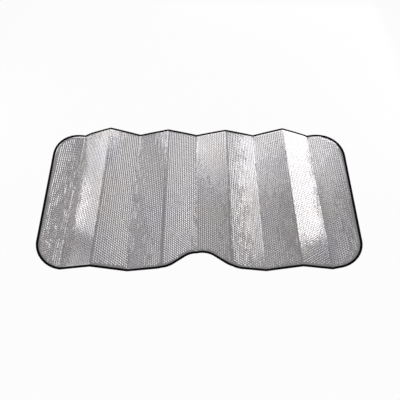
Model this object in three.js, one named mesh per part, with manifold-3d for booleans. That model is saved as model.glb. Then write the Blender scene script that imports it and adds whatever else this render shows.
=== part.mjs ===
// Folding windscreen sunshade, millimetres, +Z up, half unfolded and resting on its valley creases.
// One sheet of bubble foil, creased into ten panels, with a folded tape binding sewn round its edge.
import * as THREE from 'three';
import { mergeVertices } from 'three/addons/utils/BufferGeometryUtils.js';
import Module from 'manifold-3d';

// Creases: distance along the flat sheet, how far their pattern sits off the middle, bend radius
const creasePitch = 130;
const creaseCount = 9;
const creaseOffset = -10;
const creaseRadius = 4;
const creaseSegments = 3;
const pressedBand = 8.6;

// Rest pose: slope of the two outer panels, and of both sides of each of the four tents, in degrees
const leftPanelSlope = 38;
const rightPanelSlope = 29.5;
const tentSlopes = [21.4, 16.7, 16.2, 21.6];

// Outer outline of the flat shade, measured on the outside of the binding
const halfWidth = 636;
const sideLean = 0.04;
const farEdge = 311;
const nearEdge = 311;
const nearEdgeRadius = 9000;
const farCornerRadius = 153;
const nearCornerRadius = 90;

// Mirror notch in the near edge
const notchDepth = 68.5;
const notchTopRadius = 93;
const notchMouthRadius = 107;
const notchFlankAngle = 36.4;

// Foil: the two flat films with their backing, and the rows of bubbles that stand on them
const filmThickness = 0.8;
const bubbleHeight = 2.2;
const bubblePitch = 7.6;
const bubbleWidth = 6.4;

// Binding tape, folded over the edge of the foil
const tapeThickness = 0.6;
const tapeReach = 6.8;
const tapeClearance = 0.35;
const bubbleClearance = 0.9;

// Facets of the rounded parts of the outline, and the closest that two stations may come
const cornerSegments = 15;
const notchSegments = 7;
const bowSegments = 5;
const stationGap = 0.6;

// Values that follow from those above
const foilInset = tapeThickness + tapeClearance;
const bubbleInset = tapeReach + bubbleClearance;
const halfFilm = filmThickness / 2;
const tapeInside = halfFilm + tapeClearance;
const tapeOutside = tapeInside + tapeThickness;
const rad = Math.PI / 180;

// Fold: creases along the flat sheet, each an arc between two panel slopes
const creaseAt = (k) => (k - (creaseCount - 1) / 2) * creasePitch + creaseOffset;
const slopes = [-leftPanelSlope * rad];
for (const slope of tentSlopes) {
  slopes.push(slope * rad);
  slopes.push(-slope * rad);
}
slopes.push(rightPanelSlope * rad);

const creases = [];
for (let k = 0; k < creaseCount; k += 1) {
  const turn = slopes[k + 1] - slopes[k];
  creases.push({ u: creaseAt(k), turn, half: (creaseRadius * Math.abs(turn)) / 2, x: 0, z: 0 });
}

// Advances from a crease arc's start by the length s along the arc
function alongArc(k, s) {
  const crease = creases[k];
  const before = slopes[k];
  const bend = crease.turn / (2 * crease.half);
  const angle = before + bend * s;
  return {
    x: crease.x + (Math.sin(angle) - Math.sin(before)) / bend,
    z: crease.z - (Math.cos(angle) - Math.cos(before)) / bend,
    angle,
  };
}
for (let k = 1; k < creaseCount; k += 1) {
  const end = alongArc(k - 1, 2 * creases[k - 1].half);
  const flat = creasePitch - creases[k - 1].half - creases[k].half;
  creases[k].x = end.x + flat * Math.cos(slopes[k]);
  creases[k].z = end.z + flat * Math.sin(slopes[k]);
}

// Takes a point of the flat sheet, u across and v away from the viewer, n above it, to the folded one
function fold(u, v, n) {
  let place = null;
  for (let k = 0; k < creaseCount && place === null; k += 1) {
    const start = creases[k].u - creases[k].half;
    if (u <= start) {
      const back = start - u;
      place = {
        x: creases[k].x - back * Math.cos(slopes[k]),
        z: creases[k].z - back * Math.sin(slopes[k]),
        angle: slopes[k],
      };
    } else if (u < start + 2 * creases[k].half) {
      place = alongArc(k, u - start);
    }
  }
  if (place === null) {
    const last = creaseCount - 1;
    const end = alongArc(last, 2 * creases[last].half);
    const on = u - creases[last].u - creases[last].half;
    place = {
      x: end.x + on * Math.cos(end.angle),
      z: end.z + on * Math.sin(end.angle),
      angle: end.angle,
    };
  }
  return [place.x - n * Math.sin(place.angle), v, place.z + n * Math.cos(place.angle)];
}

// Outline, right half: circle arcs joined by straight runs, from the top of the notch to the far edge.
// grow is +1 where an inset makes the radius larger, and -1 where it makes it smaller.
const flank = notchFlankAngle * rad;
const topDrop = notchTopRadius * (1 - Math.cos(flank));
const mouthDrop = notchMouthRadius * (1 - Math.cos(flank));
const flankRun = (notchDepth - topDrop - mouthDrop) / Math.tan(flank);
const mouthHalf = (notchTopRadius + notchMouthRadius) * Math.sin(flank) + flankRun;
const sideLength = Math.hypot(1, sideLean);
const lean = Math.atan(sideLean);

const arcs = [];
arcs.push({
  u: 0,
  v: -nearEdge + notchDepth - notchTopRadius,
  radius: notchTopRadius,
  grow: 1,
  from: Math.PI / 2,
  to: Math.PI / 2 - flank,
  segments: notchSegments,
});
arcs.push({
  u: mouthHalf,
  v: -nearEdge + notchMouthRadius,
  radius: notchMouthRadius,
  grow: -1,
  from: 1.5 * Math.PI - flank,
  to: 1.5 * Math.PI,
  segments: notchSegments,
});

// The near corner touches the long bow of the near edge and the leaning side
const bowCentre = -nearEdge + nearEdgeRadius;
const nearShift = halfWidth - nearCornerRadius * sideLength - mouthHalf;
const qa = sideLean * sideLean + 1;
const qb = sideLean * nearShift - bowCentre;
const qc = nearShift ** 2 + bowCentre ** 2 - (nearEdgeRadius - nearCornerRadius) ** 2;
const nearCentreV = (-qb - Math.sqrt(qb * qb - qa * qc)) / qa;
const nearCentreU = mouthHalf + nearShift + sideLean * nearCentreV;
const bowEnd = Math.atan2(nearCentreV - bowCentre, nearCentreU - mouthHalf) + 2 * Math.PI;
arcs.push({
  u: mouthHalf,
  v: bowCentre,
  radius: nearEdgeRadius,
  grow: -1,
  from: 1.5 * Math.PI,
  to: bowEnd,
  segments: bowSegments,
});
arcs.push({
  u: nearCentreU,
  v: nearCentreV,
  radius: nearCornerRadius,
  grow: -1,
  from: bowEnd,
  to: 2 * Math.PI - lean,
  segments: cornerSegments,
});
const farCentreV = farEdge - farCornerRadius;
const farCentreU = halfWidth + sideLean * farCentreV - farCornerRadius * sideLength;
const farCorner = {
  u: farCentreU,
  v: farCentreV,
  radius: farCornerRadius,
  grow: -1,
  from: -lean,
  to: Math.PI / 2,
  segments: cornerSegments,
};
arcs.push(farCorner);

// A point of an arc, at an angle, on the outline moved inwards by inset
function onArc(arc, angle, inset) {
  const radius = arc.radius + arc.grow * inset;
  return [arc.u + radius * Math.cos(angle), arc.v + radius * Math.sin(angle)];
}

// Near edge's and far edge's height v over the sheet at u, on the outline moved inwards by inset
function nearAt(across, inset) {
  const u = Math.abs(across);
  let previous = null;
  for (const arc of arcs) {
    const start = onArc(arc, arc.from, inset);
    const end = arc === farCorner ? onArc(arc, 0, inset) : onArc(arc, arc.to, inset);
    if (previous !== null && u < start[0]) {
      const part = (u - previous[0]) / (start[0] - previous[0]);
      return previous[1] + part * (start[1] - previous[1]);
    }
    if (u <= end[0]) {
      const radius = arc.radius + arc.grow * inset;
      const rise = Math.sqrt(radius ** 2 - (u - arc.u) ** 2);
      return arc.v + (arc.grow > 0 ? rise : -rise);
    }
    previous = end;
  }
  return previous[1];
}
function farAt(across, inset) {
  const over = Math.max(0, Math.abs(across) - farCorner.u);
  return farCorner.v + Math.sqrt((farCorner.radius - inset) ** 2 - over ** 2);
}

// Places along the sheet where a crease arc has its facets
function creaseStations() {
  const stations = [];
  for (const crease of creases) {
    for (let i = 0; i <= creaseSegments; i += 1) {
      stations.push(crease.u + crease.half * ((2 * i) / creaseSegments - 1));
    }
  }
  return stations;
}

// A closed triangle mesh from corner points and triangles, as a geometry with flat faces
function asGeometry(points, triangles) {
  const geometry = new THREE.BufferGeometry();
  geometry.setAttribute('position', new THREE.Float32BufferAttribute(points.flat(), 3));
  geometry.setIndex(triangles.flat());
  return geometry;
}

const wasm = await Module();
wasm.setup();

function toSolid(geometry) {
  const merged = mergeVertices(geometry, 1e-4);
  return new wasm.Manifold(new wasm.Mesh({
    numProp: 3,
    vertProperties: new Float32Array(merged.attributes.position.array),
    triVerts: new Uint32Array(merged.index.array),
  }));
}

function fromSolid(solid) {
  const mesh = solid.getMesh();
  const geometry = new THREE.BufferGeometry();
  geometry.setAttribute('position', new THREE.BufferAttribute(new Float32Array(mesh.vertProperties), 3));
  geometry.setIndex(new THREE.BufferAttribute(new Uint32Array(mesh.triVerts), 1));
  return geometry;
}

// The flat films of the foil, in strips between stations along the sheet.
// On the back, the stretch below the tape is a face of its own.
function filmGeometry() {
  const widest = farCorner.u + farCorner.radius - foilInset - stationGap / 4;
  const stations = creaseStations();
  const rounded = [-widest, widest];
  for (const arc of arcs) {
    for (let i = 0; i <= arc.segments; i += 1) {
      const angle = arc.from + ((arc.to - arc.from) * i) / arc.segments;
      const u = onArc(arc, angle, foilInset)[0];
      if (u < widest - stationGap) {
        rounded.push(u);
        rounded.push(-u);
      }
    }
  }
  for (const u of rounded) {
    if (stations.every((other) => Math.abs(other - u) > stationGap)) {
      stations.push(u);
    }
  }
  stations.sort((a, b) => a - b);
  const points = [];
  for (const u of stations) {
    const near = nearAt(u, foilInset);
    const far = farAt(u, foilInset);
    const hem = Math.min(bubbleInset, (far - near) / 3);
    points.push(fold(u, near, -halfFilm));
    points.push(fold(u, near + hem, -halfFilm));
    points.push(fold(u, far - hem, -halfFilm));
    points.push(fold(u, far, -halfFilm));
    points.push(fold(u, far, halfFilm));
    points.push(fold(u, near, halfFilm));
  }
  const count = 6;
  const triangles = [];
  for (let i = 0; i + 1 < stations.length; i += 1) {
    for (let side = 0; side < count; side += 1) {
      const a = count * i + side;
      const b = count * i + ((side + 1) % count);
      triangles.push([a, b, b + count]);
      triangles.push([a, b + count, a + count]);
    }
  }
  const end = count * (stations.length - 1);
  for (const [a, b, c] of [[0, 1, 5], [1, 4, 5], [1, 2, 4], [2, 3, 4]]) {
    triangles.push([a, c, b]);
    triangles.push([end + a, end + b, end + c]);
  }
  return asGeometry(points, triangles);
}

// One row of bubbles along the creases, as a rounded ridge with sloping ends
const ridgeProfile = [
  [-0.5, 0],
  [-0.4, 0.66],
  [-0.17, 1],
  [0.17, 1],
  [0.4, 0.66],
  [0.5, 0],
];
function ridgeGeometry(u) {
  const edges = ridgeProfile.map(([across]) => u + across * bubbleWidth);
  const near = Math.max(...edges.map((at) => nearAt(at, bubbleInset)));
  const far = Math.min(...edges.map((at) => farAt(at, bubbleInset)));
  const points = [];
  for (const end of [0, 1]) {
    ridgeProfile.forEach(([, up], i) => {
      const back = up * bubbleHeight * 0.7;
      const v = end === 0 ? near + back : far - back;
      const n = up === 0 ? 0 : halfFilm + up * bubbleHeight;
      points.push(fold(edges[i], v, n));
    });
  }
  const count = ridgeProfile.length;
  const triangles = [];
  for (let i = 0; i < count; i += 1) {
    const j = (i + 1) % count;
    triangles.push([i, j, i + count]);
    triangles.push([j, j + count, i + count]);
  }
  for (let i = 1; i + 1 < count; i += 1) {
    triangles.push([0, i + 1, i]);
    triangles.push([count, count + i, count + i + 1]);
  }
  return asGeometry(points, triangles);
}

// Every ridge of a panel, spread evenly between the pressed bands at its creases
function ridgeCentres() {
  const reach = farCorner.u + farCorner.radius - bubbleInset;
  const bounds = [-reach];
  for (const crease of creases) {
    bounds.push(crease.u - pressedBand / 2);
    bounds.push(crease.u + pressedBand / 2);
  }
  bounds.push(reach);
  const centres = [];
  for (let i = 0; i < bounds.length; i += 2) {
    const width = bounds[i + 1] - bounds[i];
    const rows = Math.floor(width / bubblePitch);
    for (let row = 0; row < rows; row += 1) {
      centres.push(bounds[i] + (width * (row + 0.5)) / rows);
    }
  }
  return centres;
}

function foilGeometry() {
  const solids = [toSolid(filmGeometry())];
  const shortest = 5 * bubblePitch;
  for (const u of ridgeCentres()) {
    const outer = Math.abs(u) + bubbleWidth / 2;
    const widest = farCorner.u + farCorner.radius - bubbleInset;
    if (outer < widest && farAt(outer, bubbleInset) - nearAt(outer, bubbleInset) > shortest) {
      solids.push(toSolid(ridgeGeometry(u)));
    }
  }
  return fromSolid(wasm.Manifold.union(solids));
}

// Binding section: inset from the outer outline, and height over the middle of the foil
const nose = tapeOutside * 0.7;
const bindingSection = [
  [tapeReach, tapeOutside],
  [nose, tapeOutside],
  [nose * 0.25, tapeOutside * 0.74],
  [0, tapeOutside * 0.28],
  [0, -tapeOutside * 0.28],
  [nose * 0.25, -tapeOutside * 0.74],
  [nose, -tapeOutside],
  [tapeReach, -tapeOutside],
  [tapeReach, -tapeInside],
  [tapeThickness, -tapeInside],
  [tapeThickness, tapeInside],
  [tapeReach, tapeInside],
];

// Stations round the outline, each giving the flat point at any inset, in order round the sheet.
// Beside a crease they run straight across the tape, so that its fold lines meet those of the foil.
function bindingStations() {
  const near = [];
  const far = [];
  const beside = creases.map((crease) => crease.half + tapeReach);
  for (const arc of arcs) {
    for (let i = 0; i <= arc.segments; i += 1) {
      const angle = arc.from + ((arc.to - arc.from) * i) / arc.segments;
      const across = Math.abs(Math.sin(angle)) > Math.abs(Math.cos(angle));
      for (const side of [1, -1]) {
        const at = (inset) => {
          const [u, v] = onArc(arc, angle, inset);
          return [side * u, v];
        };
        const [u] = at(0);
        const twice = side < 0 && Math.abs(u) < stationGap;
        const crossed = creases.some((crease, k) => Math.abs(u - crease.u) < beside[k] + halfFilm);
        if (!twice && !(across && crossed)) {
          const chain = arc === farCorner && angle > 0 ? far : near;
          chain.push(at);
        }
      }
    }
  }
  const crossings = creases.flatMap((crease, k) => [crease.u - beside[k], crease.u + beside[k]]);
  for (const u of [...creaseStations(), ...crossings]) {
    near.push((inset) => [u, nearAt(u, inset)]);
    far.push((inset) => [u, farAt(u, inset)]);
  }
  near.sort((a, b) => a(0)[0] - b(0)[0]);
  far.sort((a, b) => b(0)[0] - a(0)[0]);
  return [...near, ...far];
}

function bindingGeometry() {
  const stations = bindingStations();
  const count = bindingSection.length;
  const points = [];
  for (const at of stations) {
    for (const [inset, n] of bindingSection) {
      const [u, v] = at(inset);
      points.push(fold(u, v, n));
    }
  }
  const triangles = [];
  const size = points.length;
  for (let s = 0; s < stations.length; s += 1) {
    for (let i = 0; i < count; i += 1) {
      const a = s * count + i;
      const b = s * count + ((i + 1) % count);
      const c = (a + count) % size;
      const d = (b + count) % size;
      triangles.push([a, b, c]);
      triangles.push([b, d, c]);
    }
  }
  return asGeometry(points, triangles);
}

const foilMaterial = new THREE.MeshStandardMaterial({ color: 0xc4c5cb, roughness: 0.3, metalness: 0.9 });
const tapeMaterial = new THREE.MeshStandardMaterial({ color: 0x16161a, roughness: 0.85, metalness: 0 });

const foil = new THREE.Mesh(foilGeometry(), foilMaterial);
foil.name = 'foil_sheet';
const binding = new THREE.Mesh(bindingGeometry(), tapeMaterial);
binding.name = 'edge_binding';

// The origin is below the middle of the shade, on the floor it rests on
const shade = new THREE.Group();
shade.add(foil, binding);
const box = new THREE.Box3().setFromObject(shade, true);
const middle = box.getCenter(new THREE.Vector3());
for (const mesh of [foil, binding]) {
  mesh.position.set(-middle.x, -middle.y, -box.min.z);
}

export default shade;
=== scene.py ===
import math

import bpy
import numpy as np
from mathutils import Matrix, Vector
from mathutils.geometry import delaunay_2d_cdt
from mathutils.kdtree import KDTree


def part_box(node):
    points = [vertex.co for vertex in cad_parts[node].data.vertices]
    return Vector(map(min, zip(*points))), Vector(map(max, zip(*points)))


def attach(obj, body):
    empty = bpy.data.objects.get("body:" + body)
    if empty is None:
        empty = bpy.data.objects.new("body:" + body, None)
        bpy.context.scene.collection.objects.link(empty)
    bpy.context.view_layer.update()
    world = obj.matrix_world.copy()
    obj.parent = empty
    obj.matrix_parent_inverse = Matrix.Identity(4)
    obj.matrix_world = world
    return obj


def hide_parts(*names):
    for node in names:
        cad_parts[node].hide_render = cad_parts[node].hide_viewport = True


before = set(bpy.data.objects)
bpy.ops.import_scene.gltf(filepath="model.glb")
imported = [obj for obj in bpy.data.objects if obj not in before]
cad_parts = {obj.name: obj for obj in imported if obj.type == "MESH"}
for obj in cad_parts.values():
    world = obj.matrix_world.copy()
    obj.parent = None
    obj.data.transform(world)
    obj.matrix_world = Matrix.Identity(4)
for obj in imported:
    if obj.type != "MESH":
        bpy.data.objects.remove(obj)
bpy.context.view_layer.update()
scene = bpy.context.scene
rng = np.random.default_rng(7)
MM = 0.001

# Creases of the flat sheet, in millimetres and degrees, with no bubble in the pressed band
CREASE_PITCH = 130.0
CREASE_COUNT = 9
CREASE_OFFSET = -10.0
CREASE_RADIUS = 4.0
ARC_STEPS = 12
END_RUN = 200.0
PRESSED_BAND = 3.4
LEFT_SLOPE = 38.0
RIGHT_SLOPE = 29.5
TENT_SLOPES = [21.4, 16.7, 16.2, 21.6]

# Outline of the flat shade, on the outside of the binding
HALF_WIDTH = 636.0
SIDE_LEAN = 0.04
FAR_EDGE = 311.0
NEAR_EDGE = 311.0
NEAR_EDGE_RADIUS = 9000.0
FAR_CORNER_RADIUS = 153.0
NEAR_CORNER_RADIUS = 90.0
NOTCH_DEPTH = 68.5
NOTCH_TOP_RADIUS = 93.0
NOTCH_MOUTH_RADIUS = 107.0
NOTCH_FLANK_ANGLE = math.radians(36.4)

# Foil and its bubbles, whose flat tops reach that far across and along at a share of the height
HALF_FILM = 0.4
FOIL_INSET = 0.95
BUBBLE_PITCH = 8.85
COLUMN_GAP = 7.75
BUBBLE_HEIGHT = 0.83
PLATEAU_REACH = np.array([2.8, 3.65])
PLATEAU_SHARE = 0.9
BUBBLE_INSET = 9.2
MOST_ROWS = 36
CELL_TOLERANCE = 0.002
NEAREST_CELLS = 3
MERGE_DISTANCE = 1e-5

# Numbers that name a corner by its panel and its place across and along, shifted to be positive
CORNER_SPAN = 1000
ACROSS_SHIFT = 10
ALONG_SHIFT = 200

# Unevenness of the bubbles: shares of their height, and slopes of their flat tops
HEIGHT_SPREAD = 0.05
HEIGHT_DRIFT = 0.10
CALM_TILT = 0.006
RESTLESS_TILT = 0.009
RESTLESS_SIZE = 260.0
RESTLESS_SHIFT = 300.0
COLUMN_TILT = 0.025
SHORTEST_DRIFT = 45.0
LONGEST_DRIFT = 220.0
DRIFT_WAVES = 3
DRIFT_PEAK = 1.8

# Crinkled film along the creases, on rows of points that keep clear of the bubbles and the edge
CREASE_ROWS = 5
CREASE_POINTS = 60
CREASE_CRINKLE = 0.16
CRINKLE_LIMIT = 2.2
BUBBLE_MARGIN = 0.3
EDGE_MARGIN = 0.6

# Steps round the outline, closer together within reach of a crease
FILM_STEP = 8.0
FILM_CREASE_STEP = 0.6
TAPE_CREASE_STEP = 0.5
CREASE_REACH = 3.2
FAR_AWAY = 99.0
LEAST_STEP_SHARE = 0.6

# A wave sums so many sines, of these shares of its size, and this brings it to about -1 to 1
WAVE_SINES = 6
SHORTEST_SHARE = 0.7
LONGEST_SHARE = 1.6
WAVE_PEAK = 3.5

# How far each panel bows out, its slow swell and ripple, and the faint wrinkle across two of them
PANEL_BOW = np.array([0.3, 1.3, 1.0, 0.9, 1.0, 0.9, 1.0, 0.9, 0.5, 1.2])
SWELL_HEIGHT = 0.15
SWELL_SIZE = 150.0
SWELL_STRETCH = 0.7
RIPPLE_HEIGHT = 0.03
RIPPLE_SIZE = 45.0
WRINKLE_V = -34.0
WRINKLE_LEAN = 0.02
WRINKLE_WIDTH = 3.2
WRINKLE_HEIGHT = 0.45
WRINKLED_PANELS = [4, 6]

# Binding tape and its stitches
TAPE_REACH = 8.4
TAPE_HALF = 1.35
TAPE_THICKNESS = 0.6
STITCH_INSET = 6.3
STITCH_PITCH = 3.4
STITCH_LENGTH = 2.7
STITCH_RADIUS = 0.28
STITCH_FLATNESS = 0.8
STITCH_SINK = 0.12
STITCH_RISE = 0.1
STITCH_SIDES = 6
STITCH_PINCH = 0.16
TAPE_WAVER = 0.16
TAPE_WAVER_SIZE = 34.0
EDGE_WAVER_SHARE = 0.4


# Fold: the flat sheet's points are bent over the creases, each an arc between two slopes
slopes = [-math.radians(LEFT_SLOPE)]
for tent in TENT_SLOPES:
    slopes += [math.radians(tent), -math.radians(tent)]
slopes.append(math.radians(RIGHT_SLOPE))
slopes = np.array(slopes)
crease_u = (np.arange(CREASE_COUNT) - (CREASE_COUNT - 1) / 2) * CREASE_PITCH + CREASE_OFFSET
turns = np.diff(slopes)
half_arc = CREASE_RADIUS * np.abs(turns) / 2


def section_line():
    """Knots of the folded middle line: distance along the flat sheet, x, z and slope angle."""
    u, x, z, angle = [crease_u[0] - half_arc[0] - END_RUN], [0.0], [0.0], [slopes[0]]
    for k in range(CREASE_COUNT):
        start = crease_u[k] - half_arc[k]
        run = start - u[-1]
        x.append(x[-1] + run * math.cos(slopes[k]))
        z.append(z[-1] + run * math.sin(slopes[k]))
        u.append(start)
        angle.append(slopes[k])
        bend = turns[k] / ARC_STEPS
        chord = 2 * half_arc[k] / ARC_STEPS
        for step in range(1, ARC_STEPS + 1):
            middle = slopes[k] + bend * (step - 0.5)
            x.append(x[-1] + chord * math.cos(middle))
            z.append(z[-1] + chord * math.sin(middle))
            u.append(start + 2 * half_arc[k] * step / ARC_STEPS)
            angle.append(slopes[k] + bend * step)
    u.append(u[-1] + END_RUN)
    x.append(x[-1] + END_RUN * math.cos(slopes[-1]))
    z.append(z[-1] + END_RUN * math.sin(slopes[-1]))
    angle.append(slopes[-1])
    return np.array([u, x, z, angle])


LINE = section_line()


def fold(u, v, n):
    """Flat points, u across the creases, v along them and n above the sheet, to folded ones."""
    u, v, n = np.broadcast_arrays(u, v, n)
    angle = np.interp(u, LINE[0], LINE[3])
    x = np.interp(u, LINE[0], LINE[1]) - n * np.sin(angle)
    z = np.interp(u, LINE[0], LINE[2]) + n * np.cos(angle)
    return np.stack([x, v, z], axis=-1)


def outline_arcs():
    """Arcs of the outline's right half, which straight runs join, from the notch to the far edge.

    Each has its centre, its radius, +1 where an inset widens it or -1, and its two end angles."""
    flank = NOTCH_FLANK_ANGLE
    drop = (NOTCH_TOP_RADIUS + NOTCH_MOUTH_RADIUS) * (1 - math.cos(flank))
    run = (NOTCH_DEPTH - drop) / math.tan(flank)
    mouth = (NOTCH_TOP_RADIUS + NOTCH_MOUTH_RADIUS) * math.sin(flank) + run
    side = math.hypot(1, SIDE_LEAN)
    lean = math.atan(SIDE_LEAN)
    top = (0.0, -NEAR_EDGE + NOTCH_DEPTH - NOTCH_TOP_RADIUS)
    bow = (mouth, -NEAR_EDGE + NEAR_EDGE_RADIUS)
    shift = HALF_WIDTH - NEAR_CORNER_RADIUS * side - mouth
    a = SIDE_LEAN**2 + 1
    b = SIDE_LEAN * shift - bow[1]
    c = shift**2 + bow[1] ** 2 - (NEAR_EDGE_RADIUS - NEAR_CORNER_RADIUS) ** 2
    corner_v = (-b - math.sqrt(b * b - a * c)) / a
    corner = (mouth + shift + SIDE_LEAN * corner_v, corner_v)
    bow_end = math.atan2(corner[1] - bow[1], corner[0] - mouth) + 2 * math.pi
    far_v = FAR_EDGE - FAR_CORNER_RADIUS
    far = (HALF_WIDTH + SIDE_LEAN * far_v - FAR_CORNER_RADIUS * side, far_v)
    mouth_centre = (mouth, -NEAR_EDGE + NOTCH_MOUTH_RADIUS)
    down = 1.5 * math.pi
    return [
        (top, NOTCH_TOP_RADIUS, 1, math.pi / 2, math.pi / 2 - flank),
        (mouth_centre, NOTCH_MOUTH_RADIUS, -1, down - flank, down),
        (bow, NEAR_EDGE_RADIUS, -1, down, bow_end),
        (corner, NEAR_CORNER_RADIUS, -1, bow_end, 2 * math.pi - lean),
        (far, FAR_CORNER_RADIUS, -1, -lean, math.pi / 2),
    ]


def outline_half(step=0.5):
    """Dense points of the right half from the notch to the far edge's middle, and inward normals."""
    points, normals = [], []
    for centre, radius, grow, start, end in outline_arcs():
        count = max(3, int(abs(end - start) * radius / step))
        angle = np.linspace(start, end, count)
        ray = np.stack([np.cos(angle), np.sin(angle)], axis=-1)
        arc = np.array(centre) + radius * ray
        if points:
            gap = np.linalg.norm(arc[0] - points[-1][-1])
            part = np.linspace(0, 1, max(2, int(gap / step)))[1:-1, None]
            points.append(points[-1][-1] * (1 - part) + arc[0] * part)
            normals.append(np.repeat(normals[-1][-1:], len(part), axis=0))
        points.append(arc)
        normals.append(grow * ray)
    last = points[-1][-1]
    run = np.linspace(last[0], 0, int(last[0] / step))[1:]
    points.append(np.stack([run, np.full(len(run), last[1])], axis=-1))
    normals.append(np.repeat([[0.0, -1.0]], len(run), axis=0))
    return np.concatenate(points), np.concatenate(normals)


HALF_POINTS, HALF_NORMALS = outline_half()


def edges_at(u, inset):
    """Near and far edge of the sheet at each u, on the outline moved inwards by inset."""
    moved = HALF_POINTS + inset * HALF_NORMALS
    widest = int(np.argmax(moved[:, 0]))
    across = np.abs(u)
    near = np.interp(across, moved[: widest + 1, 0], moved[: widest + 1, 1])
    far = np.interp(across, moved[widest:, 0][::-1], moved[widest:, 1][::-1])
    return near, far, moved[widest, 0]


def whole_outline():
    """The closed outline and its inward normals, anticlockwise from the notch."""
    mirror = np.array([-1.0, 1.0])
    points = np.concatenate([HALF_POINTS, (HALF_POINTS[1:-1] * mirror)[::-1]])
    normals = np.concatenate([HALF_NORMALS, (HALF_NORMALS[1:-1] * mirror)[::-1]])
    return points, normals


def ring_stations(spacing, near_crease):
    """Points and inward normals round the outline, closer together where it crosses a crease."""
    points, normals = whole_outline()
    loop = np.vstack([points, points[:1]])
    length = np.concatenate([[0], np.cumsum(np.linalg.norm(np.diff(loop, axis=0), axis=1))])
    total = length[-1]
    regular = np.linspace(0, total, int(total / spacing), endpoint=False)
    gap = np.min(np.abs(loop[:, :1] - crease_u[None, :]), axis=1)
    flat_run = np.abs(np.gradient(loop[:, 1])) < np.abs(np.gradient(loop[:, 0]))
    dense = np.arange(0, total, near_crease)
    close = np.interp(dense, length, np.where(flat_run, gap, FAR_AWAY)) < CREASE_REACH
    picks = np.unique(np.concatenate([regular, dense[close]]).round(2))
    keep = np.concatenate([[True], np.diff(picks) > near_crease * LEAST_STEP_SHARE])
    picks = picks[keep]
    across = np.vstack([normals, normals[:1]])
    at = np.stack([np.interp(picks, length, loop[:, i]) for i in (0, 1)], axis=-1)
    inward = np.stack([np.interp(picks, length, across[:, i]) for i in (0, 1)], axis=-1)
    inward /= np.linalg.norm(inward, axis=1, keepdims=True)
    return picks, at, inward


# The folded sheet's own middle, so that every piece lies where the solids are
ring_flat, _ = whole_outline()
ring_faces = [fold(ring_flat[:, 0], ring_flat[:, 1], n) for n in (-HALF_FILM, HALF_FILM)]
ring_folded = np.concatenate(ring_faces)
low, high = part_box("edge_binding")
ORIGIN = np.array([
    (ring_folded[:, 0].min() + ring_folded[:, 0].max()) / 2 - (low.x + high.x) / 2 / MM,
    0.0,
    np.min(LINE[2]) - TAPE_HALF - low.z / MM,
])


def wave(u, v, seed, size):
    """Smooth repeatable undulation over the sheet, about -1 to 1, of that size in millimetres."""
    random = np.random.default_rng(seed)
    total = np.zeros(np.broadcast(u, v).shape)
    for _ in range(WAVE_SINES):
        angle = random.uniform(0, math.tau)
        rate = math.tau / (size * random.uniform(SHORTEST_SHARE, LONGEST_SHARE))
        phase = random.uniform(0, math.tau)
        total += np.sin(rate * (u * math.cos(angle) + v * math.sin(angle)) + phase)
    return total / WAVE_PEAK


def relief(u, v):
    """How far the whole sheet stands off its flat panels: bowed between creases, slightly wavy."""
    panel = np.searchsorted(crease_u, u)
    starts = np.concatenate([[-HALF_WIDTH], crease_u])
    ends = np.concatenate([crease_u, [HALF_WIDTH]])
    share = np.clip((u - starts[panel]) / (ends[panel] - starts[panel]), 0, 1)
    bow = PANEL_BOW[panel] * 4 * share * (1 - share)
    loose = np.sin(math.pi * share)
    swell = SWELL_HEIGHT * wave(u, v * SWELL_STRETCH, seed=3, size=SWELL_SIZE)
    ripple = RIPPLE_HEIGHT * wave(u, v, seed=5, size=RIPPLE_SIZE)
    wrinkle = WRINKLE_HEIGHT * np.exp(-(((v - WRINKLE_V - WRINKLE_LEAN * u) / WRINKLE_WIDTH) ** 2))
    return bow + loose * (swell + ripple) + wrinkle * (loose * np.isin(panel, WRINKLED_PANELS))


def place(u, v, n):
    """Folded points in metres, in the frame of the solids."""
    u, v, n = np.broadcast_arrays(u, v, n)
    return (fold(u, v, n + relief(u, v)) - ORIGIN) * MM


def make_mesh(name, points, faces):
    """A smooth shaded mesh object of that name."""
    mesh = bpy.data.meshes.new(name)
    mesh.from_pydata(np.asarray(points).tolist(), [], [list(map(int, f)) for f in faces])
    mesh.validate()
    mesh.polygons.foreach_set("use_smooth", [True] * len(mesh.polygons))
    made = bpy.data.objects.new(name, mesh)
    scene.collection.objects.link(made)
    return made


# Foil: corners of a bubble's cell in thirds of the column gap and halves of the pitch
CELL_CORNERS = np.array([(2, 0), (1, 1), (-1, 1), (-2, 0), (-1, -1), (1, -1)])


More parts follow.
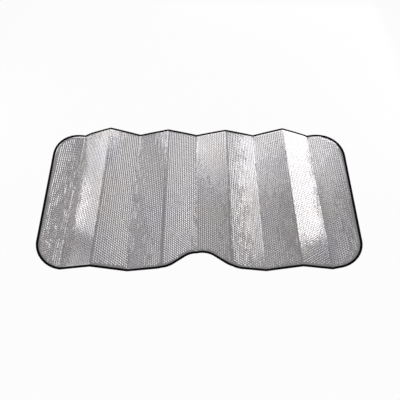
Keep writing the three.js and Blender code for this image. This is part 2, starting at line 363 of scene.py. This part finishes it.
def bubble_cells():
    """Middles and corners of the bubbles of every panel, and numbers that name shared corners."""
    _, _, widest = edges_at(0.0, BUBBLE_INSET)
    bounds = [-widest]
    for u in crease_u:
        bounds += [u - PRESSED_BAND / 2, u + PRESSED_BAND / 2]
    bounds.append(widest)
    middles, corners, names = [], [], []
    for panel in range(CREASE_COUNT + 1):
        left, right = bounds[2 * panel], bounds[2 * panel + 1]
        # A cell reaches two thirds of a gap to each side, so the columns take a third of a gap more
        columns = round((right - left) / COLUMN_GAP - 1 / 3)
        step = np.array([(right - left) / (columns + 1 / 3) / 3, BUBBLE_PITCH / 2])
        start = np.array([left + 2 * step[0], 0.0])
        column, row = np.meshgrid(np.arange(columns), np.arange(-MOST_ROWS, MOST_ROWS + 1))
        lattice = np.stack([3 * column.ravel(), (2 * row + column % 2).ravel()], axis=-1)
        around = lattice[:, None] + CELL_CORNERS[None]
        middles.append(start + lattice * step)
        corners.append(start + around * step)
        across = panel * CORNER_SPAN + around[..., 0] + ACROSS_SHIFT
        names.append(across * CORNER_SPAN + around[..., 1] + ALONG_SHIFT)
    middles, corners, names = (np.concatenate(part) for part in (middles, corners, names))
    near, far, widest = edges_at(corners[..., 0], BUBBLE_INSET)
    inside = (corners[..., 1] > near) & (corners[..., 1] < far)
    keep = (inside & (np.abs(corners[..., 0]) < widest)).all(axis=1)
    return middles[keep], corners[keep], names[keep]


def crease_lines():
    """Rows of points along every crease arc, and the sides that join them."""
    points, sides = [], []
    for k in range(CREASE_COUNT):
        for step in np.linspace(-1, 1, CREASE_ROWS):
            u = crease_u[k] + min(half_arc[k], PRESSED_BAND / 2 - BUBBLE_MARGIN) * step
            near, far, _ = edges_at(u, FOIL_INSET + EDGE_MARGIN)
            first = len(points)
            points += [(u, v) for v in np.linspace(near, far, CREASE_POINTS)]
            sides += [(first + i, first + i + 1) for i in range(CREASE_POINTS - 1)]
    return points, sides


def plain_film(boundary, rim, rim_sides, middles, reaches):
    """Points and triangles of the film between its boundary and the bubbles.

    The points are the boundary's, then the rim's, which the bubbles share, then others. Reaches
    says how far each bubble's cell reaches across."""
    line_points, line_sides = crease_lines()
    count = len(boundary)
    before_lines = count + len(rim)
    points = [Vector(p) for p in [*boundary, *rim, *line_points]]
    sides = [(i, (i + 1) % count) for i in range(count)]
    sides += [(count + a, count + b) for a, b in rim_sides]
    sides += [(before_lines + a, before_lines + b) for a, b in line_sides]
    found, _, faces, sources, _, _ = delaunay_2d_cdt(points, sides, [], 1, MERGE_DISTANCE)
    number = np.array([source[0] if source else -1 for source in sources])
    number[number < 0] = len(points) + np.arange((number < 0).sum())
    total = max(len(points), number.max() + 1)
    flat = np.zeros((total, 2))
    flat[number] = np.array([tuple(p) for p in found])
    faces = number[np.array(faces)]
    centre = flat[faces].mean(axis=1)
    keep = np.ones(len(faces), bool)
    if len(middles):
        tree = KDTree(len(middles))
        for i, middle in enumerate(middles):
            tree.insert((*middle, 0.0), i)
        tree.balance()
        on_rim = ((faces >= count) & (faces < before_lines)).all(axis=1)
        for i in np.flatnonzero(on_rim):
            for _, cell, _ in tree.find_n((*centre[i], 0.0), NEAREST_CELLS):
                across, along = np.abs(centre[i] - middles[cell]) / (reaches[cell], BUBBLE_PITCH)
                keep[i] &= max(2 * along, across + along) > 1 + CELL_TOLERANCE
    a, b, c = (flat[faces[:, i]] for i in range(3))
    area = (b[:, 0] - a[:, 0]) * (c[:, 1] - a[:, 1]) - (b[:, 1] - a[:, 1]) * (c[:, 0] - a[:, 0])
    faces[area < 0] = faces[area < 0][:, ::-1]
    return flat, faces[keep]


def column_drift(column, v):
    """Two slow random changes along each column of bubbles, about -1 to 1."""
    drift = np.zeros((2, len(v)))
    for part in range(2):
        for _ in range(DRIFT_WAVES):
            rate = math.tau / rng.uniform(SHORTEST_DRIFT, LONGEST_DRIFT, column.max() + 1)
            phase = rng.uniform(0, math.tau, column.max() + 1)
            drift[part] += np.sin(rate[column] * v + phase[column]) / DRIFT_PEAK
    return drift


def share_corners(corners, names):
    """Corners with one name as one point, each cell's six of them, and the sides of one cell alone."""
    _, first, corner = np.unique(names, return_index=True, return_inverse=True)
    corner = corner.reshape(names.shape)
    sides = np.stack([corner, np.roll(corner, -1, axis=1)], axis=-1).reshape(-1, 2)
    ordered, times = np.unique(np.sort(sides, axis=1), axis=0, return_counts=True)
    return corners.reshape(-1, 2)[first], corner, ordered[times == 1]


def bubble_tops(middles, names):
    """Height of each bubble's middle, and places and heights of the six points round its flat top."""
    count = len(middles)
    column = np.unique(names[:, 0] // CORNER_SPAN, return_inverse=True)[1]
    drift = column_drift(column, middles[:, 1])
    spread = HEIGHT_SPREAD * rng.standard_normal(count)
    height = BUBBLE_HEIGHT * (1 + spread + HEIGHT_DRIFT * drift[0])
    patches = wave(middles[:, 0] - RESTLESS_SHIFT, middles[:, 1], seed=21, size=RESTLESS_SIZE)
    restless = 0.5 + 0.5 * np.clip(patches, -1, 1)
    steepness = (CALM_TILT + RESTLESS_TILT * restless)[:, None, None]
    tilt = steepness * rng.standard_normal((count, 1, 2))
    tilt[:, 0, 0] += COLUMN_TILT * drift[1]
    around_cell = np.radians(np.arange(6) * 60 + 30)
    offset = PLATEAU_REACH * np.stack([np.cos(around_cell), np.sin(around_cell)], axis=-1)
    ring_height = height[:, None] * PLATEAU_SHARE + (offset * tilt).sum(axis=-1)
    return height, middles[:, None] + offset, ring_height


def open_crease_film(flat, fixed):
    """Which points lie on the open film at a crease, leaving out the first ones, which are fixed."""
    from_crease = np.abs(flat[:, :1] - crease_u[None]).min(axis=1)
    near, far, _ = edges_at(flat[:, 0], BUBBLE_INSET)
    open_film = (from_crease < PRESSED_BAND) & (flat[:, 1] > near) & (flat[:, 1] < far)
    open_film[:fixed] = False
    return open_film


def crisp_edges(made, rank):
    """Edges between two points of one rank are sharp, where the rank isn't 0."""
    pairs = np.empty(len(made.data.edges) * 2, int)
    made.data.edges.foreach_get("vertices", pairs)
    pairs = rank[pairs.reshape(-1, 2)]
    made.data.edges.foreach_set("use_edge_sharp", (pairs[:, 0] == pairs[:, 1]) & (pairs[:, 0] > 0))


def foil_mesh():
    """The whole closed sheet: bubbles and film on top, a smooth back, and a wall between them."""
    middles, corners, names = bubble_cells()
    _, at, inward = ring_stations(FILM_STEP, FILM_CREASE_STEP)
    boundary = at + FOIL_INSET * inward
    shared, corner, rim_sides = share_corners(corners, names)
    rim_points = np.unique(rim_sides)
    in_rim = np.full(len(shared), -1)
    in_rim[rim_points] = np.arange(len(rim_points))
    reaches = corners[:, 0, 0] - middles[:, 0]
    flat, film_faces = plain_film(boundary, shared[rim_points], in_rim[rim_sides], middles, reaches)
    # Each bubble: a middle point, a ring of six at the edge of its flat top, and its six corners
    count = len(middles)
    height, ring, ring_height = bubble_tops(middles, names)
    inner = np.setdiff1d(np.arange(len(shared)), rim_points)
    corner_at = np.zeros(len(shared), int)
    corner_at[rim_points] = len(boundary) + np.arange(len(rim_points))
    corner_at[inner] = len(flat) + np.arange(len(inner))
    middle_at = len(flat) + len(inner) + np.arange(count)
    ring_at = len(flat) + len(inner) + count + np.arange(6 * count).reshape(-1, 6)
    uv = np.concatenate([flat, shared[inner], middles, ring.reshape(-1, 2)])
    n = np.concatenate([np.zeros(len(flat) + len(inner)), height, ring_height.ravel()])
    # The open film at the creases is finely crinkled, and the film inside the tape is smooth
    open_film = open_crease_film(flat, len(boundary) + len(rim_points))
    crinkle = np.clip(rng.standard_normal(open_film.sum()), -CRINKLE_LIMIT, CRINKLE_LIMIT)
    n[: len(flat)][open_film] = CREASE_CRINKLE * crinkle
    around = corner_at[corner]
    faces = [film_faces]
    for side in range(6):
        after = (side + 1) % 6
        faces.append(np.stack([middle_at, ring_at[:, side], ring_at[:, after]], axis=-1))
        faces.append(np.stack([around[:, side], around[:, after], ring_at[:, side]], axis=-1))
        faces.append(np.stack([ring_at[:, side], around[:, after], ring_at[:, after]], axis=-1))
    faces = np.concatenate(faces)
    # The smooth back film has the same boundary, and a wall joins the two
    back, back_faces = plain_film(boundary, shared[:0], rim_sides[:0], middles[:0], reaches[:0])
    top = place(uv[:, 0], uv[:, 1], n + HALF_FILM)
    bottom = place(back[:, 0], back[:, 1], -HALF_FILM)
    here = np.arange(len(boundary))
    there = np.roll(here, -1)
    below = len(top)
    walls = [np.stack([there, here, below + here], axis=-1)]
    walls.append(np.stack([there, below + here, below + there], axis=-1))
    every = np.concatenate([faces, below + back_faces[:, ::-1], *walls])
    points = np.concatenate([top, bottom])
    used, every = np.unique(every, return_inverse=True)
    made = make_mesh("foil", points[used], every.reshape(-1, 3))
    # The rim of each flat top and the valleys between bubbles are crisp
    rank = np.zeros(len(points), int)
    rank[ring_at] = 1
    rank[corner_at[corner]] = 2
    crisp_edges(made, rank[used])
    return made


# Outer face of the tape: place inwards from the edge, share of its half height, share of the pinch
TAPE_FACE = [
    (TAPE_REACH, 0.62, 0.0), (TAPE_REACH - 0.2, 0.9, 0.1), (STITCH_INSET + 0.7, 1.0, 0.4),
    (STITCH_INSET, 0.93, 1.0), (STITCH_INSET - 0.8, 1.02, 0.5), (3.0, 1.06, 0.1),
    (1.5, 1.02, 0.0), (0.6, 0.86, 0.0), (0.12, 0.5, 0.0),
]


def binding_mesh():
    """A folded tape round the edge, drawn in a little at each stitch."""
    s, at, inward = ring_stations(STITCH_PITCH / 2, TAPE_CREASE_STEP)
    pinch = 0.5 - 0.5 * np.cos(math.tau * s / STITCH_PITCH)
    wobble = wave(s, 0.0 * s, seed=11, size=TAPE_WAVER_SIZE)
    inner = TAPE_HALF - TAPE_THICKNESS
    section = []
    for side in (1, -1):
        section.append([(d, side * TAPE_HALF * h, side * draw) for d, h, draw in TAPE_FACE])
    ring = section[0] + [(0.0, 0.0, 0.0)] + section[1][::-1]
    ring += [(TAPE_REACH, -inner, 0.0), (TAPE_THICKNESS, -inner, 0.0)]
    ring += [(TAPE_THICKNESS, inner, 0.0), (TAPE_REACH, inner, 0.0)]
    points = []
    for d, h, draw in ring:
        # The tape wavers most at its inner edge, and not at all on the outline
        loose = 0.0 if d == 0 else EDGE_WAVER_SHARE if d < STITCH_INSET else 1.0
        flat_at = at + (d + TAPE_WAVER * wobble * loose)[:, None] * inward
        points.append(place(flat_at[:, 0], flat_at[:, 1], h - draw * STITCH_PINCH * pinch))
    points = np.stack(points, axis=1).reshape(-1, 3)
    count, size = len(ring), len(s)
    i = np.arange(size)[:, None] * count
    j = (np.arange(size)[:, None] + 1) % size * count
    k = np.arange(count)[None]
    after = (k + 1) % count
    quads = np.stack(np.broadcast_arrays(i + k, i + after, j + after, j + k), axis=-1)
    return make_mesh("binding", points, quads.reshape(-1, 4))


def thread_mesh():
    """Running stitches on both faces of the tape."""
    points, normals = whole_outline()
    loop = np.vstack([points, points[:1]]) + STITCH_INSET * np.vstack([normals, normals[:1]])
    length = np.concatenate([[0], np.cumsum(np.linalg.norm(np.diff(loop, axis=0), axis=1))])
    middles = np.arange(0, length[-1] - STITCH_PITCH, STITCH_PITCH) + STITCH_PITCH / 2
    # Sections of a stitch, in shares of its length, and how thick it is there
    along = np.array([-0.5, -0.38, 0.0, 0.38, 0.5])
    width = np.array([0.15, 0.8, 1.0, 0.8, 0.15])
    around = np.radians(np.arange(STITCH_SIDES) * 360 / STITCH_SIDES)
    rings = len(along)
    vertices, faces = [], []
    for side in (1, -1):
        for middle in middles:
            s = middle + along * STITCH_LENGTH
            u = np.interp(s, length, loop[:, 0])
            v = np.interp(s, length, loop[:, 1])
            run = np.array([u[-1] - u[0], v[-1] - v[0]])
            run /= np.linalg.norm(run)
            across = STITCH_RADIUS * width[:, None] * np.cos(around)
            up = STITCH_RADIUS * width[:, None] * np.sin(around) * STITCH_FLATNESS
            flat_u = u[:, None] - across * run[1]
            flat_v = v[:, None] + across * run[0]
            lift = side * (TAPE_HALF - STITCH_SINK + STITCH_RISE * width[:, None]) + up
            start = len(vertices) * rings * STITCH_SIDES
            vertices.append(place(flat_u, flat_v, lift).reshape(-1, 3))
            for first in range(start, start + (rings - 1) * STITCH_SIDES, STITCH_SIDES):
                for k in range(STITCH_SIDES):
                    a = first + k
                    b = first + (k + 1) % STITCH_SIDES
                    faces.append([a, b, b + STITCH_SIDES, a + STITCH_SIDES])
            end = start + (rings - 1) * STITCH_SIDES
            faces.append([start + k for k in reversed(range(STITCH_SIDES))])
            faces.append([end + k for k in range(STITCH_SIDES)])
    return make_mesh("binding_thread", np.concatenate(vertices), faces)


# Materials
def new_material(name):
    """A material of that name with its nodes, its links and its one shader."""
    material = bpy.data.materials.new(name)
    material.use_nodes = True
    nodes = material.node_tree.nodes
    nodes.clear()
    output = nodes.new("ShaderNodeOutputMaterial")
    shader = nodes.new("ShaderNodeBsdfPrincipled")
    material.node_tree.links.new(shader.outputs["BSDF"], output.inputs["Surface"])
    return material, nodes, material.node_tree.links, shader


def scaled_position(nodes, links, scale):
    """Place on the object, scaled along each axis, for a texture."""
    position = nodes.new("ShaderNodeTexCoord")
    mapping = nodes.new("ShaderNodeMapping")
    mapping.inputs["Scale"].default_value = scale
    links.new(position.outputs["Object"], mapping.inputs["Vector"])
    return mapping.outputs["Vector"]


def noise(nodes, links, scale, detail=2.0, rough=0.5):
    """Noise of so many waves a metre along each axis."""
    texture = nodes.new("ShaderNodeTexNoise")
    texture.inputs["Scale"].default_value = 1.0
    texture.inputs["Detail"].default_value = detail
    texture.inputs["Roughness"].default_value = rough
    links.new(scaled_position(nodes, links, scale), texture.inputs["Vector"])
    return texture.outputs["Fac"]


def ramp(nodes, links, source, stops):
    """Colour picked by a value, from stops of position and colour."""
    made = nodes.new("ShaderNodeValToRGB")
    elements = made.color_ramp.elements
    while len(elements) > 2:
        elements.remove(elements[-1])
    for i, (position, colour) in enumerate(stops):
        element = elements[i] if i < 2 else elements.new(position)
        element.position = position
        element.color = (*colour, 1.0)
    links.new(source, made.inputs["Fac"])
    return made.outputs["Color"]


def value_range(nodes, links, source, lowest, highest, start=0.3, end=0.7):
    """A value between start and end as one between lowest and highest."""
    made = nodes.new("ShaderNodeMapRange")
    made.inputs["From Min"].default_value = start
    made.inputs["From Max"].default_value = end
    made.inputs["To Min"].default_value = lowest
    made.inputs["To Max"].default_value = highest
    links.new(source, made.inputs["Value"])
    return made.outputs["Result"]


def bump(nodes, links, source, distance, below=None):
    """Surface direction from a height in metres, on top of the one below."""
    made = nodes.new("ShaderNodeBump")
    made.inputs["Strength"].default_value = 1.0
    made.inputs["Distance"].default_value = distance
    links.new(source, made.inputs["Height"])
    if below is not None:
        links.new(below, made.inputs["Normal"])
    return made.outputs["Normal"]


def foil_material():
    """Metallised film: bright, finely crinkled, with faint streaks along the creases."""
    material, nodes, links, shader = new_material("metallised_film")
    shader.inputs["Metallic"].default_value = 1.0
    patches = noise(nodes, links, (7.0, 5.0, 7.0))
    tint = ramp(nodes, links, patches, [
        (0.35, (0.865, 0.85, 0.885)), (0.5, (0.895, 0.875, 0.885)), (0.65, (0.905, 0.875, 0.87)),
    ])
    links.new(tint, shader.inputs["Base Color"])
    links.new(value_range(nodes, links, patches, 0.13, 0.17), shader.inputs["Roughness"])
    streaks = noise(nodes, links, (150.0, 9.0, 40.0))
    crinkle = noise(nodes, links, (330.0, 260.0, 330.0), detail=3.0, rough=0.6)
    streaky = bump(nodes, links, streaks, 0.0003)
    links.new(bump(nodes, links, crinkle, 0.00007, streaky), shader.inputs["Normal"])
    return material


def tape_material():
    """Matt black woven tape."""
    material, nodes, links, shader = new_material("black_tape")
    weave = nodes.new("ShaderNodeTexWave")
    weave.bands_direction = "DIAGONAL"
    weave.inputs["Scale"].default_value = 1.0
    weave.inputs["Distortion"].default_value = 0.6
    links.new(scaled_position(nodes, links, (420.0, 420.0, 420.0)), weave.inputs["Vector"])
    lint = noise(nodes, links, (160.0, 160.0, 160.0), detail=3.0, rough=0.6)
    colour = ramp(nodes, links, lint, [(0.3, (0.003, 0.003, 0.0035)), (0.7, (0.009, 0.009, 0.010))])
    links.new(colour, shader.inputs["Base Color"])
    links.new(value_range(nodes, links, lint, 0.72, 0.9), shader.inputs["Roughness"])
    shader.inputs["Specular IOR Level"].default_value = 0.05
    links.new(bump(nodes, links, weave.outputs["Fac"], 0.00012), shader.inputs["Normal"])
    return material


def thread_material():
    """Black polyester sewing thread with a slight twist."""
    material, nodes, links, shader = new_material("black_thread")
    twist = nodes.new("ShaderNodeTexWave")
    twist.bands_direction = "DIAGONAL"
    twist.inputs["Scale"].default_value = 1.0
    links.new(scaled_position(nodes, links, (900.0, 900.0, 900.0)), twist.inputs["Vector"])
    colour = ramp(nodes, links, twist.outputs["Fac"], [
        (0.2, (0.006, 0.006, 0.007)), (0.8, (0.02, 0.02, 0.022)),
    ])
    links.new(colour, shader.inputs["Base Color"])
    shader.inputs["Roughness"].default_value = 0.5
    links.new(bump(nodes, links, twist.outputs["Fac"], 0.00006), shader.inputs["Normal"])
    return material


foil = foil_mesh()
foil.data.materials.append(foil_material())
binding = binding_mesh()
binding.data.materials.append(tape_material())
thread = thread_mesh()
thread.data.materials.append(thread_material())

for piece in (foil, binding, thread):
    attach(piece, "root")
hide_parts("foil_sheet")
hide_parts("edge_binding")


# Floor, with its width in metres and how far its own glow replaces its lit colour
FLOOR_WIDTH = 12.0
FLOOR_GLOW = 0.96


def floor_material():
    """White studio floor: white to the camera and in reflections, with the object's own shadow."""
    material, nodes, links, shader = new_material("studio_floor")
    shader.inputs["Roughness"].default_value = 0.9
    speck = noise(nodes, links, (3.0, 3.0, 3.0))
    colour = ramp(nodes, links, speck, [(0.3, (0.90, 0.90, 0.90)), (0.7, (0.92, 0.92, 0.92))])
    links.new(colour, shader.inputs["Base Color"])
    glow = nodes.new("ShaderNodeEmission")
    glow.inputs["Color"].default_value = (1, 1, 1, 1)
    glow.inputs["Strength"].default_value = 1.0
    path = nodes.new("ShaderNodeLightPath")
    share = nodes.new("ShaderNodeMath")
    share.operation = "MULTIPLY"
    share.inputs[1].default_value = FLOOR_GLOW
    seen = nodes.new("ShaderNodeMath")
    seen.operation = "MAXIMUM"
    links.new(path.outputs["Is Camera Ray"], seen.inputs[0])
    links.new(path.outputs["Is Glossy Ray"], seen.inputs[1])
    links.new(seen.outputs[0], share.inputs[0])
    mix = nodes.new("ShaderNodeMixShader")
    links.new(share.outputs[0], mix.inputs["Fac"])
    links.new(shader.outputs["BSDF"], mix.inputs[1])
    links.new(glow.outputs["Emission"], mix.inputs[2])
    output = next(n for n in nodes if n.type == "OUTPUT_MATERIAL")
    links.new(mix.outputs["Shader"], output.inputs["Surface"])
    return material


bpy.ops.mesh.primitive_plane_add(size=FLOOR_WIDTH, location=(0, 0, 0))
floor = bpy.context.object
floor.name = "floor"
floor.data.materials.append(floor_material())

# Camera, from the photograph's viewing angle: place in metres, angles in degrees
CAMERA_PLACE = Vector((-0.0174, -0.6772, 1.2027))
CAMERA_ELEVATION = math.radians(61.27)
CAMERA_YAW = math.radians(1.77)
CAMERA_ROLL = math.radians(1.62)
FOCAL_PIXELS = 343.3
IMAGE_PIXELS = 400
SENSOR_WIDTH = 36.0
SIDE_SHIFT = -0.0023

forward = Vector((
    math.sin(CAMERA_YAW) * math.cos(CAMERA_ELEVATION),
    math.cos(CAMERA_YAW) * math.cos(CAMERA_ELEVATION),
    -math.sin(CAMERA_ELEVATION),
))
level = Vector((math.cos(CAMERA_YAW), -math.sin(CAMERA_YAW), 0.0))
upward = level.cross(forward)
right = level * math.cos(CAMERA_ROLL) + upward * math.sin(CAMERA_ROLL)
above = upward * math.cos(CAMERA_ROLL) - level * math.sin(CAMERA_ROLL)
turned = Matrix((right, above, -forward)).transposed().to_4x4()
camera_data = bpy.data.cameras.new("camera")
camera_data.sensor_width = SENSOR_WIDTH
camera_data.lens = FOCAL_PIXELS / IMAGE_PIXELS * SENSOR_WIDTH
camera_data.shift_x = SIDE_SHIFT
camera = bpy.data.objects.new("camera", camera_data)
camera.matrix_world = Matrix.Translation(CAMERA_PLACE) @ turned
scene.collection.objects.link(camera)
scene.camera = camera


def softbox(name, centre, target, width, height, brightness):
    """An area lamp of that even brightness, turned towards target."""
    data = bpy.data.lights.new(name, "AREA")
    data.shape = "RECTANGLE"
    data.size = width
    data.size_y = height
    data.energy = brightness * math.pi * width * height
    lamp = bpy.data.objects.new(name, data)
    lamp.location = centre
    lamp.rotation_euler = (Vector(target) - Vector(centre)).to_track_quat("-Z", "Y").to_euler()
    lamp.visible_camera = False
    scene.collection.objects.link(lamp)


def side_box(name, x, y, z, width, height, brightness):
    """A softbox beside the shade, facing straight across it."""
    softbox(name, (x, y, z), (0.0, y, z), width, height, brightness)


def end_box(name, x, y, z, width, height, brightness):
    """A softbox in front of the shade or behind it, facing straight along it."""
    softbox(name, (x, y, z), (x, 0.0, z), width, height, brightness)


# Softboxes round the shade, near it, so that each panel mirrors its own part of them, in metres
RIGHT_X = 1.05
LEFT_X = -1.05
BACK_Y = 1.3
FRONT_Y = -1.3
FRONT_LEFT_X = -1.3
side_box("right_low", RIGHT_X, 0.39, 0.265, 0.62, 0.47, 1.8)
side_box("right_low_far", RIGHT_X, 1.0, 0.265, 0.60, 0.47, 1.6)
side_box("right_middle", RIGHT_X, 0.405, 0.65, 0.59, 0.30, 0.7)
side_box("right_middle_far", RIGHT_X, 1.0, 0.65, 0.60, 0.30, 1.2)
side_box("right_high", RIGHT_X, 0.44, 0.92, 0.62, 0.24, 0.75)
side_box("right_high_far", RIGHT_X, 1.025, 0.92, 0.55, 0.24, 1.1)
side_box("left_low", LEFT_X, 0.285, 0.18, 0.33, 0.30, 1.8)
side_box("left_low_far", LEFT_X, 0.59, 0.18, 0.28, 0.30, 0.85)
side_box("left_middle", LEFT_X, 0.71, 0.49, 1.18, 0.32, 0.8)
side_box("left_front", FRONT_LEFT_X, -0.55, 0.625, 1.3, 1.15, 0.3)
end_box("back_left", -0.6, BACK_Y, 1.185, 0.8, 0.43, 1.1)
end_box("back_middle", 0.0, BACK_Y, 1.225, 0.4, 0.35, 1.1)
end_box("back_high", -0.6, BACK_Y, 1.725, 0.8, 0.65, 0.5)
end_box("back_low", 0.4, BACK_Y, 0.315, 1.2, 0.57, 1.2)
end_box("front", 0.0, FRONT_Y, 0.625, 2.6, 1.15, 0.7)


def studio_world():
    """Even grey room, a little darker in front, and white where the camera sees it."""
    world = bpy.data.worlds.new("studio")
    scene.world = world
    world.use_nodes = True
    nodes, links = world.node_tree.nodes, world.node_tree.links
    nodes.clear()
    output = nodes.new("ShaderNodeOutputWorld")
    coordinates = nodes.new("ShaderNodeTexCoord")
    split = nodes.new("ShaderNodeSeparateXYZ")
    links.new(coordinates.outputs["Generated"], split.inputs["Vector"])
    depth = value_range(nodes, links, split.outputs["Y"], 0.0, 1.0, start=-1.0, end=1.0)
    colour = ramp(nodes, links, depth, [(0.2, (0.19, 0.19, 0.19)), (0.5, (0.24, 0.235, 0.24))])
    room = nodes.new("ShaderNodeBackground")
    links.new(colour, room.inputs["Color"])
    white = nodes.new("ShaderNodeBackground")
    white.inputs["Color"].default_value = (1, 1, 1, 1)
    path = nodes.new("ShaderNodeLightPath")
    mix = nodes.new("ShaderNodeMixShader")
    links.new(path.outputs["Is Camera Ray"], mix.inputs["Fac"])
    links.new(room.outputs["Background"], mix.inputs[1])
    links.new(white.outputs["Background"], mix.inputs[2])
    links.new(mix.outputs["Shader"], output.inputs["Surface"])


studio_world()
scene.view_settings.view_transform = "Standard"
